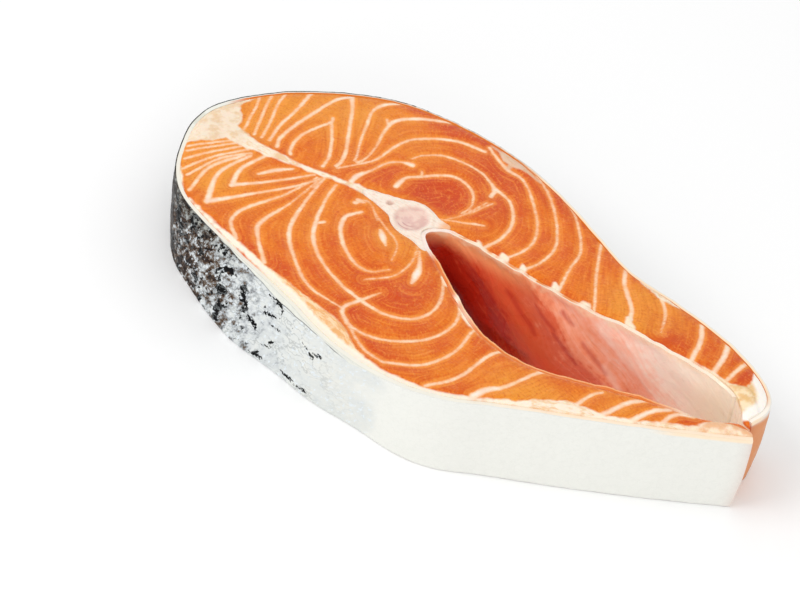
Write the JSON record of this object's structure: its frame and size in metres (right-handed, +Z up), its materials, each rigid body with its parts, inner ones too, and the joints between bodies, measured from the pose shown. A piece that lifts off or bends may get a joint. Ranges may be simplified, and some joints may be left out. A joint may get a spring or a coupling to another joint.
{
  "type": "raw salmon steak",
  "caption": "Raw salmon steak cut across the fish, lying flat: orange layered flesh round a backbone, a long open belly with a thin pink lining, and silvery skin round the outside.",
  "frame": {"origin": "middle of the steak's bounding box, on the surface it lies on", "axes": "+X from the back of the fish to its belly flaps, +Z up through the thickness of the cut"},
  "size_m": [0.173, 0.0925, 0.026],
  "materials": {
    "flesh": "moist orange muscle with pale cream layers",
    "skin": "wet scaly skin, dark at the back, silver on the side, white on the belly",
    "lining": "smooth wet pink membrane, dark red beside the backbone",
    "bone": "moist pinkish white bone and cartilage"
  },
  "bodies": {
    "root": {"flesh": "flesh", "skin": "skin", "belly_lining": "lining", "backbone": "bone"}
  },
  "joints": []
}
